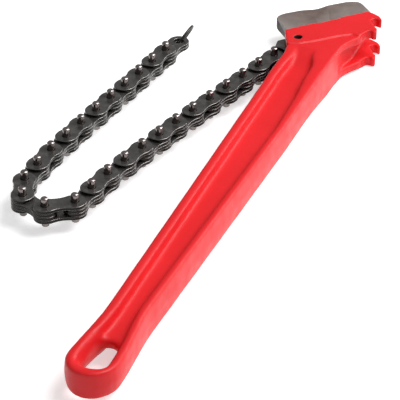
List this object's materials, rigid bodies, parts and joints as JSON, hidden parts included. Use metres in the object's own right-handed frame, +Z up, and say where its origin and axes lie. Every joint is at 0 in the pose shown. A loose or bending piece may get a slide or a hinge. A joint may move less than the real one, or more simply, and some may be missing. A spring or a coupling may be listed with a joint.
{
  "type": "chain wrench",
  "caption": "Heavy chain wrench: red cast I-section handle with hanging eye, hooked fork head, toothed jaw and a jointed leaf chain with a pull ring, for gripping pipe.",
  "frame": {"origin": "on the outer face of the lower cheek, on the handle's centre line, beside the jaw pin", "axes": "+Y along the handle from the eye to the head, +X to the hook side, +Z up along the chain's pins"},
  "size_m": [0.1612, 0.4826, 0.0282],
  "materials": {
    "casting_paint": "semi-gloss red enamel on cast iron",
    "jaw_steel": "matte heat-treated steel",
    "chain_steel": "dark oiled steel",
    "pin_steel": "bare peened steel",
    "ring_wire": "drawn wire"
  },
  "bodies": {
    "handle_body": {"handle": "casting_paint", "jaw": "jaw_steel", "jaw_pin": "pin_steel", "anchor_pin": "pin_steel"},
    "shackle_body": {"shackle": "chain_steel"},
    "chain_01": {"outer_link_01": "chain_steel", "link_pins_01": "pin_steel"},
    "chain_02": {"inner_link_01": "chain_steel"},
    "chain_03": {"outer_link_02": "chain_steel", "link_pins_02": "pin_steel"},
    "chain_04": {"inner_link_02": "chain_steel"},
    "chain_05": {"outer_link_03": "chain_steel", "link_pins_03": "pin_steel"},
    "chain_06": {"inner_link_03": "chain_steel"},
    "chain_07": {"outer_link_04": "chain_steel", "link_pins_04": "pin_steel"},
    "chain_08": {"inner_link_04": "chain_steel"},
    "chain_09": {"outer_link_05": "chain_steel", "link_pins_05": "pin_steel"},
    "chain_10": {"inner_link_05": "chain_steel"},
    "chain_11": {"outer_link_06": "chain_steel", "link_pins_06": "pin_steel"},
    "chain_12": {"inner_link_06": "chain_steel"},
    "chain_13": {"outer_link_07": "chain_steel", "link_pins_07": "pin_steel"},
    "chain_14": {"inner_link_07": "chain_steel"},
    "chain_15": {"outer_link_08": "chain_steel", "link_pins_08": "pin_steel"},
    "chain_16": {"inner_link_08": "chain_steel"},
    "chain_17": {"outer_link_09": "chain_steel", "link_pins_09": "pin_steel"},
    "chain_18": {"inner_link_09": "chain_steel"},
    "chain_19": {"outer_link_10": "chain_steel", "link_pins_10": "pin_steel"},
    "chain_20": {"inner_link_10": "chain_steel"},
    "chain_21": {"outer_link_11": "chain_steel", "link_pins_11": "pin_steel"},
    "chain_22": {"inner_link_11": "chain_steel"},
    "chain_23": {"outer_link_12": "chain_steel", "link_pins_12": "pin_steel"},
    "chain_24": {"inner_link_12": "chain_steel"},
    "chain_25": {"outer_link_13": "chain_steel", "link_pins_13": "pin_steel"},
    "chain_26": {"end_link": "chain_steel"},
    "ring_body": {"pull_ring": "ring_wire"}
  },
  "joints": [
    {"name": "chain_wrap", "type": "hinge", "parent": "handle_body", "child": "shackle_body", "pos_m": [-0.0134, -0.017, 0.01409], "axis": [0, 0, -1], "range_deg": [-3, 62]},
    {"name": "link_01", "type": "hinge", "parent": "shackle_body", "child": "chain_01", "pos_m": [-0.0259, -0.03138, 0.01409], "axis": [0, 0, -1], "range_deg": [-1, 24]},
    {"name": "link_02", "type": "hinge", "parent": "chain_01", "child": "chain_02", "pos_m": [-0.03083, -0.04978, 0.01409], "axis": [0, 0, -1], "range_deg": [-1, 8]},
    {"name": "link_03", "type": "hinge", "parent": "chain_02", "child": "chain_03", "pos_m": [-0.03576, -0.06818, 0.01409], "axis": [0, 0, -1], "range_deg": [-1, 8]},
    {"name": "link_04", "type": "hinge", "parent": "chain_03", "child": "chain_04", "pos_m": [-0.04069, -0.08658, 0.01409], "axis": [0, 0, -1], "range_deg": [-1, 8]},
    {"name": "link_05", "type": "hinge", "parent": "chain_04", "child": "chain_05", "pos_m": [-0.04562, -0.10498, 0.01409], "axis": [0, 0, -1], "range_deg": [-1, 13]},
    {"name": "link_06", "type": "hinge", "parent": "chain_05", "child": "chain_06", "pos_m": [-0.05055, -0.12338, 0.01409], "axis": [0, 0, -1], "range_deg": [-1, 14]},
    {"name": "link_07", "type": "hinge", "parent": "chain_06", "child": "chain_07", "pos_m": [-0.05516, -0.14187, 0.01409], "axis": [0, 0, -1], "range_deg": [-1, 14]},
    {"name": "link_08", "type": "hinge", "parent": "chain_07", "child": "chain_08", "pos_m": [-0.05944, -0.16043, 0.01409], "axis": [0, 0, -1], "range_deg": [-1, 13]},
    {"name": "link_09", "type": "hinge", "parent": "chain_08", "child": "chain_09", "pos_m": [-0.06373, -0.17899, 0.01409], "axis": [0, 0, -1], "range_deg": [-2, 15]},
    {"name": "link_10", "type": "hinge", "parent": "chain_09", "child": "chain_10", "pos_m": [-0.06802, -0.19755, 0.01409], "axis": [0, 0, -1], "range_deg": [-2, 16]},
    {"name": "link_11", "type": "hinge", "parent": "chain_10", "child": "chain_11", "pos_m": [-0.07165, -0.21625, 0.01409], "axis": [0, 0, -1], "range_deg": [-2, 15]},
    {"name": "link_12", "type": "hinge", "parent": "chain_11", "child": "chain_12", "pos_m": [-0.0743, -0.23512, 0.01409], "axis": [0, 0, -1], "range_deg": [-2, 13]},
    {"name": "link_13", "type": "hinge", "parent": "chain_12", "child": "chain_13", "pos_m": [-0.07728, -0.25393, 0.01409], "axis": [0, 0, 1], "range_deg": [-2, 30]},
    {"name": "link_14", "type": "hinge", "parent": "chain_13", "child": "chain_14", "pos_m": [-0.09269, -0.26513, 0.01409], "axis": [0, 0, 1], "range_deg": [-2, 39]},
    {"name": "link_15", "type": "hinge", "parent": "chain_14", "child": "chain_15", "pos_m": [-0.11081, -0.25924, 0.01409], "axis": [0, 0, 1], "range_deg": [-2, 35]},
    {"name": "link_16", "type": "hinge", "parent": "chain_15", "child": "chain_16", "pos_m": [-0.11795, -0.24158, 0.01409], "axis": [0, 0, 1], "range_deg": [-2, 10]},
    {"name": "link_17", "type": "hinge", "parent": "chain_16", "child": "chain_17", "pos_m": [-0.11795, -0.22253, 0.01409], "axis": [0, 0, -1], "range_deg": [-18, 6]},
    {"name": "link_18", "type": "hinge", "parent": "chain_17", "child": "chain_18", "pos_m": [-0.11728, -0.20349, 0.01409], "axis": [0, 0, -1], "range_deg": [-18, 5]},
    {"name": "link_19", "type": "hinge", "parent": "chain_18", "child": "chain_19", "pos_m": [-0.11529, -0.18454, 0.01409], "axis": [0, 0, -1], "range_deg": [-18, 6]},
    {"name": "link_20", "type": "hinge", "parent": "chain_19", "child": "chain_20", "pos_m": [-0.1133, -0.1656, 0.01409], "axis": [0, 0, -1], "range_deg": [-18, 6]},
    {"name": "link_21", "type": "hinge", "parent": "chain_20", "child": "chain_21", "pos_m": [-0.11098, -0.14669, 0.01409], "axis": [0, 0, -1], "range_deg": [-18, 6]},
    {"name": "link_22", "type": "hinge", "parent": "chain_21", "child": "chain_22", "pos_m": [-0.10866, -0.12778, 0.01409], "axis": [0, 0, -1], "range_deg": [-18, 6]},
    {"name": "link_23", "type": "hinge", "parent": "chain_22", "child": "chain_23", "pos_m": [-0.10633, -0.10887, 0.01409], "axis": [0, 0, -1], "range_deg": [-18, 6]},
    {"name": "link_24", "type": "hinge", "parent": "chain_23", "child": "chain_24", "pos_m": [-0.10401, -0.08997, 0.01409], "axis": [0, 0, -1], "range_deg": [-18, 6]},
    {"name": "link_25", "type": "hinge", "parent": "chain_24", "child": "chain_25", "pos_m": [-0.10202, -0.07102, 0.01409], "axis": [0, 0, -1], "range_deg": [-18, 6]},
    {"name": "link_26", "type": "hinge", "parent": "chain_25", "child": "chain_26", "pos_m": [-0.0997, -0.05211, 0.01409], "axis": [0, 0, -1], "range_deg": [-18, 6]},
    {"name": "ring_swing", "type": "hinge", "parent": "chain_26", "child": "ring_body", "pos_m": [-0.09738, -0.0332, 0.01409], "axis": [0, 0, 1], "range_deg": [-60, 60]}
  ]
}
